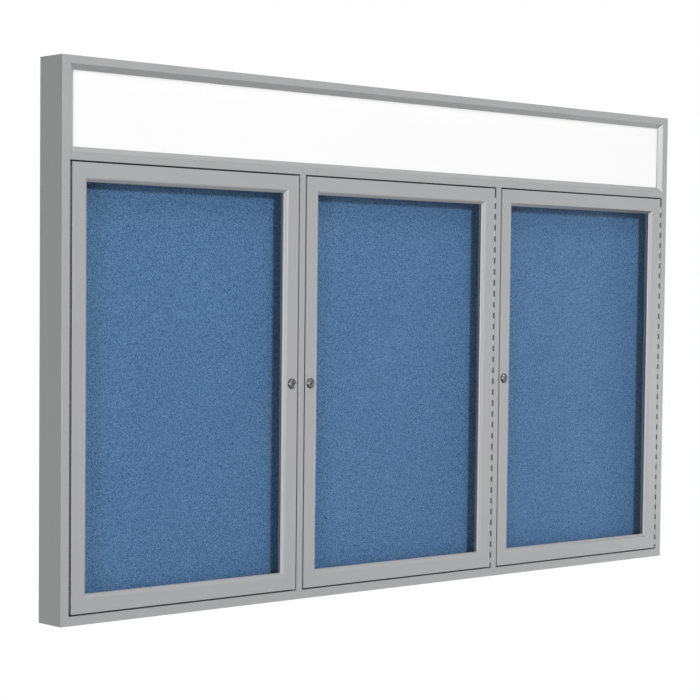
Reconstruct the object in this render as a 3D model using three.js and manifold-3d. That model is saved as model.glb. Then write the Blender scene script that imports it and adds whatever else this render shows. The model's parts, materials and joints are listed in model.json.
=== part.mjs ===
// Wall-hung notice board: a shallow aluminium cabinet with three glazed, lockable doors over blue
// tack boards, and a low header with a blank white panel above them.
// Millimetres. X runs to the right, Z up, and Y from the front of the board into the wall.
// The origin lies on the back face, at the middle of its width and height.
import * as THREE from 'three';
import { mergeVertices } from 'three/addons/utils/BufferGeometryUtils.js';
import Module from 'manifold-3d';

const wasm = await Module();
wasm.setup();

// Overall sizes
const overallWidth = 1829;
const cabinetDepth = 76;
const doorHeight = 880.4;
const doorCount = 3;

// Faces seen from the front
const frameFace = 18.8;
const mullionFace = 16;
const headRailFace = 14.5;
const headerTopFace = 15.5;
const headerClear = 170;
const headerBevelWidth = 11;
const headerBevelDepth = 8;

// Gaps and clearances
const doorGap = 3.2;
const seat = 0.3;
const sealSpace = 2.6;
const cutOverrun = 5;

// Cabinet sections
const wall = 2;
const returnOffset = 8.5;
const tackDepth = 44;
const ledgeWidth = 12;
const sillDepth = 24;

// Sheets and boards
const backSheet = 2;
const headerSheet = 3;
const headerSheetMargin = 3;
const vinylThickness = 1.2;
const coreThickness = 10;

// Mounting rails, wall screws and corner brackets
const mountingRailHeight = 40;
const mountingRailRise = 110;
const mountingRailSpacing = 650;
const wallScrewHoleRadius = 3.5;
const wallScrewSpacing = 1422;
const bracketLeg = 70;
const bracketWidth = 14;
const bracketThickness = 2.5;

// Door bars
const doorDepth = 19;
const doorFlat = 31;
const doorBevelWidth = 7;
const doorBevelDepth = 6;
const doorWall = 2;
const lipThickness = 2;
const grooveDepth = 11;
const rearLipInset = 2;
const rearLipThickness = 2;
const rearStepWidth = 2;

// Glazing
const paneThickness = 3;
const gasketThickness = 1.3;
const paneEdgeClearance = 1.5;
const paneBackClearance = 0.5;
const gasketSightInset = 0.8;

// Continuous hinges
const knucklePitch = 12.7;
const knuckleRadius = 2.5;
const knuckleClearance = 0.2;
const knuckleGap = 0.4;
const leafThickness = 1;
const hingeAxisDepth = 1.6;
const hingeEndMargin = 8;
const leafEndInset = 0.8;
const pinRadius = 0.9;
const pinClearance = 0.2;

// Cam locks
const lockReturnClearance = 1.7;
const lockHeadRadius = 11;
const lockHeadHeight = 4.4;
const lockHeadFaceRadius = 8.4;
const lockHeadRim = 1.2;
const lockFaceStep = 0.4;
const barrelRadius = 8;
const barrelReach = 5;
const plugRadius = 6;
const plugFaceInset = 0.8;
const plugChamfer = 0.6;
const keyholeWidth = 1.6;
const keyholeHeight = 6.5;
const keyholeDepth = 6;
const camLength = 24.5;
const camHubRadius = 7;
const camTipRadius = 5;
const camThickness = 2.5;
const tailWidth = 5;
const tailReach = 1;
const camSlotMargin = 2;

// Facet counts
const lockFacets = 16;
const holeFacets = 10;
const pinFacets = 8;
const knuckleFacets = 6;
const camArcFacets = 6;

// A unit bar runs from 0 to 1, and this share tells its two ends apart
const middleShare = 0.5;

// Places worked out from the sizes above. Depths count from the front plane into the wall.
const front = -cabinetDepth;
const left = -overallWidth / 2;
const right = overallWidth / 2;
const overallHeight =
  frameFace + doorGap + doorHeight + doorGap + headRailFace + seat + headerClear + headerTopFace;
const hingeGap = 2 * (knuckleRadius + knuckleClearance);
const bottom = -overallHeight / 2;
const top = overallHeight / 2;
const doorBottom = bottom + frameFace + doorGap;
const doorTop = doorBottom + doorHeight;
const headRailBottom = doorTop + doorGap;
const headRailTop = headRailBottom + headRailFace;
const headerBottom = headRailTop + seat;
const mullionCount = doorCount - 1;
const fixedWidth =
  2 * frameFace + mullionCount * mullionFace + doorCount * (hingeGap + doorGap);
const doorWidth = (overallWidth - fixedWidth) / doorCount;
const stopDepth = doorDepth + sealSpace;
const ledgeDepth = cabinetDepth - backSheet - seat - wall;
const vinylDepth = tackDepth + seat;
const coreDepth = vinylDepth + vinylThickness + seat;
const boardBack = coreDepth + coreThickness;
const lockHeight = (doorBottom + doorTop) / 2;
const lockInset = returnOffset - doorGap + barrelRadius + lockReturnClearance;
const mitreGap = seat / 2;
const sheetMargin = wall + seat;

// Finishes
const aluminium = { color: 0xb2b3b4, roughness: 0.42, metalness: 0.55 };
const doorAluminium = { color: 0xb6b7b8, roughness: 0.4, metalness: 0.55 };
const sheetAluminium = { color: 0xa3a5a6, roughness: 0.5, metalness: 0.6 };
const steel = { color: 0x9a9c9e, roughness: 0.38, metalness: 0.9 };
const nickel = { color: 0xa6a6a2, roughness: 0.25, metalness: 0.95 };
const whitePanel = { color: 0xf7f7f5, roughness: 0.35, metalness: 0 };
const fibreboard = { color: 0x9c7f5c, roughness: 0.9, metalness: 0 };
const blueVinyl = { color: 0x4c77a8, roughness: 0.8, metalness: 0 };
const gasketRubber = { color: 0x3a3c3e, roughness: 0.7, metalness: 0 };
const clearPane = { color: 0xe6eef0, roughness: 0.04, metalness: 0, transparent: true, opacity: 0.2 };

const board = new THREE.Group();
board.name = 'notice_board';

function add(parent, name, geometry, finish) {
  const mesh = new THREE.Mesh(geometry, new THREE.MeshStandardMaterial(finish));
  mesh.name = name;
  parent.add(mesh);
  return mesh;
}

// Geometry with shared corners and no flattened triangles
function welded(geometry) {
  const plain = geometry.clone();
  plain.deleteAttribute('normal');
  plain.deleteAttribute('uv');
  const merged = mergeVertices(plain);
  const kept = [];
  const corners = merged.index.array;
  for (let i = 0; i < corners.length; i += 3) {
    const [a, b, c] = [corners[i], corners[i + 1], corners[i + 2]];
    if (a !== b && b !== c && c !== a) {
      kept.push(a, b, c);
    }
  }
  merged.setIndex(kept);
  return merged;
}

// Turns every triangle round where a mirrored placing has left the faces pointing in
function facingOut(geometry) {
  const positions = geometry.attributes.position;
  const corners = Array.from(geometry.index.array);
  const [a, b, c] = [new THREE.Vector3(), new THREE.Vector3(), new THREE.Vector3()];
  let volume = 0;
  for (let i = 0; i < corners.length; i += 3) {
    a.fromBufferAttribute(positions, corners[i]);
    b.fromBufferAttribute(positions, corners[i + 1]);
    c.fromBufferAttribute(positions, corners[i + 2]);
    volume += a.dot(b.cross(c));
  }
  if (volume < 0) {
    for (let i = 0; i < corners.length; i += 3) {
      [corners[i], corners[i + 1]] = [corners[i + 1], corners[i]];
    }
    geometry.setIndex(corners);
  }
  return geometry;
}

function toSolid(geometry) {
  return new wasm.Manifold(new wasm.Mesh({
    numProp: 3,
    vertProperties: new Float32Array(geometry.attributes.position.array),
    triVerts: new Uint32Array(geometry.index.array),
  }));
}

function toGeometry(solid) {
  const mesh = solid.getMesh();
  const geometry = new THREE.BufferGeometry();
  geometry.setAttribute('position', new THREE.BufferAttribute(mesh.vertProperties, 3));
  geometry.setIndex(Array.from(mesh.triVerts));
  return geometry;
}

function cut(geometry, ...cutters) {
  const solids = cutters.map(toSolid);
  return toGeometry(solids.reduce((rest, cutter) => rest.subtract(cutter), toSolid(geometry)));
}

function join(geometry, ...others) {
  return toGeometry(others.map(toSolid).reduce((whole, other) => whole.add(other), toSolid(geometry)));
}

function keepInside(geometry, boundary) {
  return toGeometry(toSolid(geometry).intersect(toSolid(boundary)));
}

// A box between two places along X, two along Y and two along Z
function block([x0, x1], [y0, y1], [z0, z1]) {
  const box = new THREE.BoxGeometry(x1 - x0, y1 - y0, z1 - z0);
  box.translate((x0 + x1) / 2, (y0 + y1) / 2, (z0 + z1) / 2);
  return welded(box);
}

function outlineShape(points) {
  return new THREE.Shape(points.map(([across, depth]) => new THREE.Vector2(across, depth)));
}

// A bar is a section of [across, depth] points run along its length. An end may be mitred, so each
// end's place is a function of how far across the bar a point lies.
function bar({ section, hollow, from, to, place }) {
  const shape = outlineShape(section);
  if (hollow) {
    shape.holes.push(outlineShape(hollow));
  }
  const geometry = welded(new THREE.ExtrudeGeometry(shape, { depth: 1, bevelEnabled: false }));
  const positions = geometry.attributes.position;
  for (let i = 0; i < positions.count; i += 1) {
    const across = positions.getX(i);
    const depth = positions.getY(i);
    const along = positions.getZ(i) < middleShare ? from(across) : to(across);
    positions.setXYZ(i, ...place(across, depth, along));
  }
  return facingOut(geometry);
}

// Placings of a bar along each side of a rectangle
const alongLeft = (edge) => (across, depth, along) => [edge + across, front + depth, along];
const alongRight = (edge) => (across, depth, along) => [edge - across, front + depth, along];
const alongBottom = (edge) => (across, depth, along) => [along, front + depth, edge + across];
const alongTop = (edge) => (across, depth, along) => [along, front + depth, edge - across];

// A flat plate with an outline of [x, z] points, between two places along Y
function plate(points, [y0, y1], hole) {
  const shape = outlineShape(points);
  if (hole) {
    shape.holes.push(outlineShape(hole));
  }
  const geometry = welded(new THREE.ExtrudeGeometry(shape, { depth: 1, bevelEnabled: false }));
  const positions = geometry.attributes.position;
  for (let i = 0; i < positions.count; i += 1) {
    const y = positions.getZ(i) < middleShare ? y0 : y1;
    positions.setXYZ(i, positions.getX(i), y, positions.getY(i));
  }
  return facingOut(geometry);
}

function rectangle(x0, x1, z0, z1) {
  return [[x0, z0], [x1, z0], [x1, z1], [x0, z1]];
}

// A round cutter along Y
function round(radius, facets, x, [y0, y1], z) {
  const cylinder = new THREE.CylinderGeometry(radius, radius, y1 - y0, facets);
  cylinder.translate(x, (y0 + y1) / 2, z);
  return welded(cylinder);
}

// Section of the stiles and bottom rail: front face, door jamb, door stop, the return that carries
// the tack board, and a ledge that the back panel lies on
const frameSection = [
  [0, 0],
  [frameFace, 0],
  [frameFace, stopDepth],
  [frameFace + returnOffset, stopDepth],
  [frameFace + returnOffset, tackDepth],
  [frameFace + returnOffset - wall, tackDepth],
  [frameFace + returnOffset - wall, stopDepth + wall],
  [frameFace - wall, stopDepth + wall],
  [frameFace - wall, wall],
  [wall, wall],
  [wall, ledgeDepth],
  [ledgeWidth, ledgeDepth],
  [ledgeWidth, ledgeDepth + wall],
  [wall, ledgeDepth + wall],
  [wall, cabinetDepth],
  [0, cabinetDepth],
];

// Section of the head rail, counted down from its top: as the frame, without a ledge
const headRailSection = [
  [0, 0],
  [headRailFace, 0],
  [headRailFace, stopDepth],
  [headRailFace + returnOffset, stopDepth],
  [headRailFace + returnOffset, tackDepth],
  [headRailFace + returnOffset - wall, tackDepth],
  [headRailFace + returnOffset - wall, stopDepth + wall],
  [headRailFace - wall, stopDepth + wall],
  [headRailFace - wall, wall],
  [wall, wall],
  [wall, boardBack],
  [0, boardBack],
];

// Section of a mullion: a channel open at the back, the same on both sides of its middle
const halfMullion = mullionFace / 2;
const mullionHalfSection = [
  [halfMullion, 0],
  [halfMullion, stopDepth],
  [halfMullion + returnOffset, stopDepth],
  [halfMullion + returnOffset, tackDepth],
  [halfMullion + returnOffset - wall, tackDepth],
  [halfMullion + returnOffset - wall, stopDepth + wall],
  [halfMullion - wall, stopDepth + wall],
  [halfMullion - wall, wall],
];
const mullionSection = [
  ...mullionHalfSection,
  ...mullionHalfSection.map(([across, depth]) => [-across, depth]).reverse(),
];

// Section of the header's posts and top rail: face, bevelled lip over the panel, and a ledge
function headerSection(face) {
  return [
    [0, 0],
    [face, 0],
    [face + headerBevelWidth, headerBevelDepth],
    [face + headerBevelWidth, headerBevelDepth + wall],
    [face, wall],
    [wall, wall],
    [wall, ledgeDepth],
    [ledgeWidth, ledgeDepth],
    [ledgeWidth, ledgeDepth + wall],
    [wall, ledgeDepth + wall],
    [wall, cabinetDepth],
    [0, cabinetDepth],
  ];
}

// Section of the header's sill: the bottom bevel on a flat foot
const sillSection = [
  [0, 0],
  [headerBevelWidth, headerBevelDepth],
  [headerBevelWidth, headerBevelDepth + wall],
  [wall, wall + wall * headerBevelDepth / headerBevelWidth],
  [wall, sillDepth],
  [0, sillDepth],
];

// Section of the door bars: a hollow box with a bevelled lip and a groove for the pane
const doorBarWidth = doorFlat + doorBevelWidth;
const grooveFront = doorBevelDepth + lipThickness;
const grooveBack = grooveFront + seat + gasketThickness + seat + paneThickness + paneBackClearance;
const grooveBottom = doorBarWidth - grooveDepth;
const rearLipBack = grooveBack + rearLipThickness;
const doorBarSection = [
  [0, 0],
  [doorFlat, 0],
  [doorBarWidth, doorBevelDepth],
  [doorBarWidth, grooveFront],
  [grooveBottom, grooveFront],
  [grooveBottom, grooveBack],
  [doorBarWidth - rearLipInset, grooveBack],
  [doorBarWidth - rearLipInset, rearLipBack],
  [grooveBottom - rearStepWidth, rearLipBack],
  [grooveBottom - rearStepWidth, doorDepth],
  [0, doorDepth],
];
const chamberEdge = grooveBottom - doorWall;
const doorBarChamber = [
  [doorWall, doorWall],
  [chamberEdge, doorWall],
  [chamberEdge, rearLipBack - doorWall],
  [chamberEdge - rearStepWidth, rearLipBack - doorWall],
  [chamberEdge - rearStepWidth, doorDepth - doorWall],
  [doorWall, doorDepth - doorWall],
];

// Doors and mullions from left to right. The first door is hinged on its left edge, the others on
// their right edge, and the gap is wider on the hinged side.
const isHingedLeft = (index) => index === 0;
const doorEdges = [];
const mullionMiddles = [];
let bayStart = left + frameFace;
for (let index = 0; index < doorCount; index += 1) {
  const [gapBefore, gapAfter] = isHingedLeft(index) ? [hingeGap, doorGap] : [doorGap, hingeGap];
  const doorStart = bayStart + gapBefore;
  const bayEnd = doorStart + doorWidth + gapAfter;
  doorEdges.push([doorStart, doorStart + doorWidth]);
  mullionMiddles.push(bayEnd + halfMullion);
  bayStart = bayEnd + mullionFace;
}

// Cabinet frame
const returnEdge = frameFace + returnOffset + seat;
const copeSpan = [front + stopDepth - seat, cutOverrun];

function addFrame() {
  const mitreFromBottom = (across) => bottom + across + mitreGap;
  const section = frameSection;
  const toHeadRail = () => headRailTop;
  add(board, 'left_stile', bar({
    section, from: mitreFromBottom, to: toHeadRail, place: alongLeft(left),
  }), aluminium);
  add(board, 'right_stile', bar({
    section, from: mitreFromBottom, to: toHeadRail, place: alongRight(right),
  }), aluminium);
  add(board, 'bottom_rail', bar({
    section,
    from: (across) => left + across + mitreGap,
    to: (across) => right - across - mitreGap,
    place: alongBottom(bottom),
  }), aluminium);

  const headRail = bar({
    section: headRailSection,
    from: () => left + frameFace + seat,
    to: () => right - frameFace - seat,
    place: alongTop(headRailTop),
  });
  const heights = [headRailBottom - returnOffset - cutOverrun, headRailTop + cutOverrun];
  add(board, 'head_rail', cut(
    headRail,
    block([left, left + returnEdge], copeSpan, heights),
    block([right - returnEdge, right], copeSpan, heights),
  ), aluminium);
}

// The depths and heights that a turning cam sweeps through beside its lock
const barrelBack = doorDepth + barrelReach;
const camFront = barrelBack + seat;
const camBack = camFront + camThickness;
const camSlotSpan = [front + stopDepth + wall, front + camBack + camSlotMargin];
const camSlotHeights = [
  lockHeight - camLength - camSlotMargin,
  lockHeight + camHubRadius + camSlotMargin,
];

function camSlot(middle, side) {
  const inner = middle + side * halfMullion;
  const outer = middle + side * (halfMullion + returnOffset + cutOverrun);
  return block([Math.min(inner, outer), Math.max(inner, outer)], camSlotSpan, camSlotHeights);
}

function addMullion(index) {
  const middle = mullionMiddles[index];
  const upright = bar({
    section: mullionSection,
    from: () => bottom + frameFace + seat,
    to: () => headRailBottom - seat,
    place: alongLeft(middle),
  });
  const reach = halfMullion + returnOffset + cutOverrun;
  const sides = [middle - reach, middle + reach];
  const slotSides = [];
  if (isHingedLeft(index)) {
    slotSides.push(-1);
  }
  if (!isHingedLeft(index + 1)) {
    slotSides.push(1);
  }
  add(board, `mullion_${index + 1}`, cut(
    upright,
    block(sides, copeSpan, [bottom, bottom + returnEdge]),
    block(sides, copeSpan, [headRailBottom - returnOffset - seat, headRailTop]),
    ...slotSides.map((side) => camSlot(middle, side)),
  ), aluminium);
}

// Header frame: each member is kept inside its own outline as seen from the front
const memberSpan = [front - cutOverrun, cutOverrun];

function postOutline(edge, side) {
  const innerFace = edge + side * frameFace;
  const innerLip = innerFace + side * headerBevelWidth;
  const upperFace = top - headerTopFace;
  return [
    [edge, headerBottom],
    [innerFace, headerBottom],
    [innerLip, headerBottom + headerBevelWidth + mitreGap],
    [innerLip, upperFace - headerBevelWidth - mitreGap],
    [innerFace, upperFace - mitreGap],
    [edge, top - mitreGap],
  ];
}

function addHeader() {
  const postEnds = { from: () => headerBottom, to: () => top };
  const post = { section: headerSection(frameFace), ...postEnds };
  add(board, 'header_left_post', keepInside(
    bar({ ...post, place: alongLeft(left) }),
    plate(postOutline(left, 1), memberSpan),
  ), aluminium);
  add(board, 'header_right_post', keepInside(
    bar({ ...post, place: alongRight(right) }),
    plate(postOutline(right, -1), memberSpan),
  ), aluminium);

  const lipLeft = left + frameFace + headerBevelWidth + mitreGap;
  const lipRight = right - frameFace - headerBevelWidth - mitreGap;
  const faceLeft = left + frameFace + mitreGap;
  const faceRight = right - frameFace - mitreGap;
  const upperFace = top - headerTopFace;
  add(board, 'header_top_rail', keepInside(
    bar({
      section: headerSection(headerTopFace),
      from: () => left,
      to: () => right,
      place: alongTop(top),
    }),
    plate([
      [left + mitreGap, top],
      [faceLeft, upperFace],
      [lipLeft, upperFace - headerBevelWidth],
      [lipRight, upperFace - headerBevelWidth],
      [faceRight, upperFace],
      [right - mitreGap, top],
    ], memberSpan),
  ), aluminium);

  add(board, 'header_sill', bar({
    section: sillSection,
    from: (across) => left + frameFace + mitreGap + across,
    to: (across) => right - frameFace - mitreGap - across,
    place: alongBottom(headerBottom),
  }), aluminium);

  const panelFront = front + headerBevelDepth + wall + seat;
  const panelInset = frameFace - headerSheetMargin;
  add(board, 'header_panel', block(
    [left + panelInset, right - panelInset],
    [panelFront, panelFront + headerSheet],
    [headerBottom + wall + seat, top - headerTopFace + headerSheetMargin],
  ), whitePanel);
}

// Back panel with wall-screw holes, and the channels behind the tack boards that take the screws
const railHeights = [mountingRailRise, mountingRailRise + mountingRailSpacing];

function wallScrewHoles(height) {
  return [-1, 1].map((side) => round(
    wallScrewHoleRadius,
    holeFacets,
    side * wallScrewSpacing / 2,
    [-cabinetDepth, cutOverrun],
    bottom + height + mountingRailHeight / 2,
  ));
}

function addBack() {
  const backWidth = [left + sheetMargin, right - sheetMargin];
  const backHeight = [bottom + sheetMargin, top - sheetMargin];
  add(board, 'back_panel', cut(
    block(backWidth, [-backSheet, 0], backHeight),
    ...railHeights.flatMap(wallScrewHoles),
  ), sheetAluminium);

  const railFront = boardBack + seat;
  const railBack = cabinetDepth - backSheet - seat;
  const channelSection = [
    [0, railFront],
    [wall, railFront],
    [wall, railBack - wall],
    [mountingRailHeight - wall, railBack - wall],
    [mountingRailHeight - wall, railFront],
    [mountingRailHeight, railFront],
    [mountingRailHeight, railBack],
    [0, railBack],
  ];
  const names = ['mounting_rail_lower', 'mounting_rail_upper'];
  railHeights.forEach((height, index) => {
    const rail = bar({
      section: channelSection,
      from: () => left + ledgeWidth + seat,
      to: () => right - ledgeWidth - seat,
      place: alongBottom(bottom + height),
    });
    add(board, names[index], cut(rail, ...wallScrewHoles(height)), sheetAluminium);
  });
}

function addCornerBrackets() {
  const span = [front + ledgeDepth - seat - bracketThickness, front + ledgeDepth - seat];
  const corners = [
    [left, 1, bottom, 1],
    [right, -1, bottom, 1],
    [left, 1, top, -1],
    [right, -1, top, -1],
  ];
  const legs = [
    [0, 0],
    [bracketLeg, 0],
    [bracketLeg, bracketWidth],
    [bracketWidth, bracketWidth],
    [bracketWidth, bracketLeg],
    [0, bracketLeg],
  ];
  corners.forEach(([x, sideX, z, sideZ], index) => {
    const outline = legs.map(([across, up]) => [
      x + sideX * (sheetMargin + across),
      z + sideZ * (sheetMargin + up),
    ]);
    add(board, `corner_bracket_${index + 1}`, plate(outline, span), steel);
  });
}

// Tack boards: a vinyl facing on a fibreboard core, one board behind each door
function addTackBoard(index) {
  const x0 = index === 0 ? left + sheetMargin : mullionMiddles[index - 1] + mitreGap;
  const x1 = index === doorCount - 1 ? right - sheetMargin : mullionMiddles[index] - mitreGap;
  const heights = [bottom + sheetMargin, headRailTop - sheetMargin];
  const number = index + 1;
  add(board, `tack_vinyl_${number}`, block(
    [x0, x1], [front + vinylDepth, front + vinylDepth + vinylThickness], heights,
  ), blueVinyl);
  add(board, `tack_core_${number}`, block(
    [x0, x1], [front + coreDepth, front + boardBack], heights,
  ), fibreboard);
}

// Continuous hinge: two leaves with alternate knuckles round one pin
const hingeLength = doorHeight - 2 * hingeEndMargin;
const knucklePairs = Math.floor(hingeLength / (2 * knucklePitch));
const hingeBottom = (doorBottom + doorTop) / 2 - knucklePairs * knucklePitch;
const hingeTop = hingeBottom + 2 * knucklePairs * knucklePitch;
const flatHalf = knuckleRadius / 2;
const flatReach = knuckleRadius * Math.cos(Math.PI / knuckleFacets);
const leafFace = hingeGap / 2 - seat;
const leafInner = flatReach - leafThickness;
const leafStart = knuckleRadius + seat;
const leafEnd = doorDepth - leafEndInset - hingeAxisDepth;
const boreHalf = pinRadius + pinClearance;

// A six-sided knuckle with a strip that runs back from it into its leaf
const knuckleShoulder = knuckleRadius - (leafInner / flatReach) * flatHalf;
const knuckleSection = [
  [flatReach, leafStart + leafThickness],
  [flatReach, -flatHalf],
  [0, -knuckleRadius],
  [-flatReach, -flatHalf],
  [-flatReach, flatHalf],
  [0, knuckleRadius],
  [leafInner, knuckleShoulder],
  [leafInner, leafStart + leafThickness],
];
const knuckleBore = rectangle(-boreHalf, boreHalf, -boreHalf, boreHalf);

// side is 1 where the leaf lies to the right of the pin; the first knuckle is the cabinet's
function hingeLeaf(side, firstKnuckle) {
  const place = (across, depth, along) => [side * across, depth, along];
  const knuckles = [];
  for (let pair = 0; pair < knucklePairs; pair += 1) {
    const low = hingeBottom + (2 * pair + firstKnuckle) * knucklePitch;
    knuckles.push(bar({
      section: knuckleSection,
      hollow: knuckleBore,
      from: () => low + knuckleGap / 2,
      to: () => low + knucklePitch - knuckleGap / 2,
      place,
    }));
  }
  const leaf = bar({
    section: rectangle(leafInner, leafFace, leafStart, leafEnd),
    from: () => hingeBottom,
    to: () => hingeTop,
    place,
  });
  return join(leaf, ...knuckles);
}

function addHinge(number, hingeSide, axisX) {
  const hinge = new THREE.Group();
  hinge.position.set(axisX, front + hingeAxisDepth, 0);
  board.add(hinge);
  const pin = new THREE.CylinderGeometry(pinRadius, pinRadius, hingeTop - hingeBottom, pinFacets);
  pin.rotateX(Math.PI / 2);
  pin.translate(0, 0, (hingeBottom + hingeTop) / 2);
  add(hinge, `hinge_${number}_cabinet_leaf`, hingeLeaf(hingeSide, 0), steel);
  add(hinge, `hinge_${number}_door_leaf`, hingeLeaf(-hingeSide, 1), steel);
  add(hinge, `hinge_${number}_pin`, welded(pin), steel);
}

// Cam lock, round its own axis: a barrel with a tapered head, a plug with a keyhole and square tail,
// and a cam
function lathe(points) {
  const profile = points.map(([radius, depth]) => new THREE.Vector2(radius, depth));
  return facingOut(welded(new THREE.LatheGeometry(profile, lockFacets)));
}

function lockBody() {
  const bore = plugRadius + seat;
  const faceDepth = -lockHeadHeight;
  return lathe([
    [bore, faceDepth + lockFaceStep],
    [lockHeadFaceRadius, faceDepth],
    [lockHeadRadius, -lockHeadRim],
    [lockHeadRadius, -seat],
    [barrelRadius, -seat],
    [barrelRadius, barrelBack],
    [bore, barrelBack],
    [bore, faceDepth + lockFaceStep],
  ]);
}

function lockPlug() {
  const faceDepth = -lockHeadHeight + plugFaceInset;
  const plug = lathe([
    [0, faceDepth],
    [plugRadius - plugChamfer, faceDepth],
    [plugRadius, faceDepth + plugChamfer],
    [plugRadius, barrelBack],
    [0, barrelBack],
  ]);
  const halfTail = tailWidth / 2;
  const tail = block([-halfTail, halfTail], [faceDepth, camBack + tailReach], [-halfTail, halfTail]);
  const keyhole = block(
    [-keyholeWidth / 2, keyholeWidth / 2],
    [faceDepth - cutOverrun, faceDepth + keyholeDepth],
    [-keyholeHeight / 2, keyholeHeight / 2],
  );
  return cut(join(plug, tail), keyhole);
}

// The cam hangs straight down from its hub when the lock is open
function lockCam() {
  const points = [];
  const tipDrop = camLength - camTipRadius;
  for (let i = 0; i <= camArcFacets; i += 1) {
    const angle = Math.PI * i / camArcFacets;
    points.push([camHubRadius * Math.cos(angle), camHubRadius * Math.sin(angle)]);
  }
  for (let i = 0; i <= camArcFacets; i += 1) {
    const angle = Math.PI + Math.PI * i / camArcFacets;
    points.push([camTipRadius * Math.cos(angle), camTipRadius * Math.sin(angle) - tipDrop]);
  }
  const hole = tailWidth / 2 + seat;
  return plate(points, [camFront, camBack], rectangle(-hole, hole, -hole, hole));
}

function addLock(number, lockX) {
  const lock = new THREE.Group();
  lock.position.set(lockX, front, lockHeight);
  board.add(lock);
  add(lock, `lock_${number}_body`, lockBody(), nickel);
  add(lock, `lock_${number}_plug`, lockPlug(), nickel);
  add(lock, `lock_${number}_cam`, lockCam(), steel);
}

// Doors: the first is hinged on its left edge, the others on their right edge
function addDoor(index) {
  const number = index + 1;
  const [x0, x1] = doorEdges[index];
  const hingeOnLeft = isHingedLeft(index);
  const lockX = hingeOnLeft ? x1 - lockInset : x0 + lockInset;
  const holeSpan = [front - cutOverrun, front + doorDepth + cutOverrun];
  const lockHole = round(barrelRadius + seat, lockFacets, lockX, holeSpan, lockHeight);
  const uprightEnds = {
    from: (across) => doorBottom + across + mitreGap,
    to: (across) => doorTop - across - mitreGap,
  };
  const levelEnds = {
    from: (across) => x0 + across + mitreGap,
    to: (across) => x1 - across - mitreGap,
  };
  const profile = { section: doorBarSection, hollow: doorBarChamber };
  const leftBar = bar({ ...profile, ...uprightEnds, place: alongLeft(x0) });
  const rightBar = bar({ ...profile, ...uprightEnds, place: alongRight(x1) });
  const [hingeBar, lockBar] = hingeOnLeft ? [leftBar, rightBar] : [rightBar, leftBar];
  add(board, `door_${number}_hinge_stile`, hingeBar, doorAluminium);
  add(board, `door_${number}_lock_stile`, cut(lockBar, lockHole), doorAluminium);
  add(board, `door_${number}_top_rail`, bar({
    ...profile, ...levelEnds, place: alongTop(doorTop),
  }), doorAluminium);
  add(board, `door_${number}_bottom_rail`, bar({
    ...profile, ...levelEnds, place: alongBottom(doorBottom),
  }), doorAluminium);

  const gasketFront = front + grooveFront + seat;
  const paneFront = gasketFront + gasketThickness + seat;
  const edge = grooveBottom + paneEdgeClearance;
  const sight = doorBarWidth - gasketSightInset;
  add(board, `door_${number}_gasket`, plate(
    rectangle(x0 + edge, x1 - edge, doorBottom + edge, doorTop - edge),
    [gasketFront, gasketFront + gasketThickness],
    rectangle(x0 + sight, x1 - sight, doorBottom + sight, doorTop - sight),
  ), gasketRubber);
  add(board, `door_${number}_glazing`, block(
    [x0 + edge, x1 - edge], [paneFront, paneFront + paneThickness], [doorBottom + edge, doorTop - edge],
  ), clearPane);

  const hingeSide = hingeOnLeft ? -1 : 1;
  const hingeEdge = hingeOnLeft ? x0 : x1;
  addHinge(number, hingeSide, hingeEdge + hingeSide * hingeGap / 2);
  addLock(number, lockX);
}

addFrame();
for (let index = 0; index < mullionCount; index += 1) {
  addMullion(index);
}
addHeader();
addBack();
addCornerBrackets();
for (let index = 0; index < doorCount; index += 1) {
  addTackBoard(index);
}
for (let index = 0; index < doorCount; index += 1) {
  addDoor(index);
}

export default board;
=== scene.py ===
"""Lockable notice board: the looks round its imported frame. Metres, X to the right, Z up, Y into the wall."""

import json
import math

import bmesh
import bpy
from mathutils import Matrix, Vector

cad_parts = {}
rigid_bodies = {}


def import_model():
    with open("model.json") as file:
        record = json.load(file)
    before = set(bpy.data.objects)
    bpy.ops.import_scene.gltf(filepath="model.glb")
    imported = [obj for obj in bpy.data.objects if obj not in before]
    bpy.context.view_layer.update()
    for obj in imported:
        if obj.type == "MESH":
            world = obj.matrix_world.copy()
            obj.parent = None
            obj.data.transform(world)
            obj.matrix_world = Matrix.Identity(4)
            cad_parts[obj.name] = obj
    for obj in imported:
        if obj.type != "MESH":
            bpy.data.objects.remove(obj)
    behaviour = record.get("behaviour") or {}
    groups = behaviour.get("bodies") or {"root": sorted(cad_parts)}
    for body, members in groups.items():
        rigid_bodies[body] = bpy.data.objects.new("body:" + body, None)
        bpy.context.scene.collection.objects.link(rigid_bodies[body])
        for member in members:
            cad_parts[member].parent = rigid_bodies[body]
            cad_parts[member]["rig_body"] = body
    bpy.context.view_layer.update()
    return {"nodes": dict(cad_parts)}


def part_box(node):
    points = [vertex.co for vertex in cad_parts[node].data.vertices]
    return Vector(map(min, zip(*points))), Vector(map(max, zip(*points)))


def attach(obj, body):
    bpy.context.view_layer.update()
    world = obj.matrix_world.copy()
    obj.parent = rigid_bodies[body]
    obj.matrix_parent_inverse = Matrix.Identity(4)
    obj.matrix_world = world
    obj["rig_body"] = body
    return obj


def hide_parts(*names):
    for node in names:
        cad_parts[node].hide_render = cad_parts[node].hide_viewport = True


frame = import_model()
NODES = frame["nodes"]
BODY_OF = {node: obj["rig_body"] for node, obj in NODES.items()}

MM = 0.001
DOORS = (1, 2, 3)
BRACKETS = (1, 2, 3, 4)

# The front plane, and how far behind it the doors end and the stops of the frame begin
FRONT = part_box("left_stile")[0].y
DOOR_BACK = 19.0 * MM
STOP_FACE = 21.6 * MM

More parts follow.
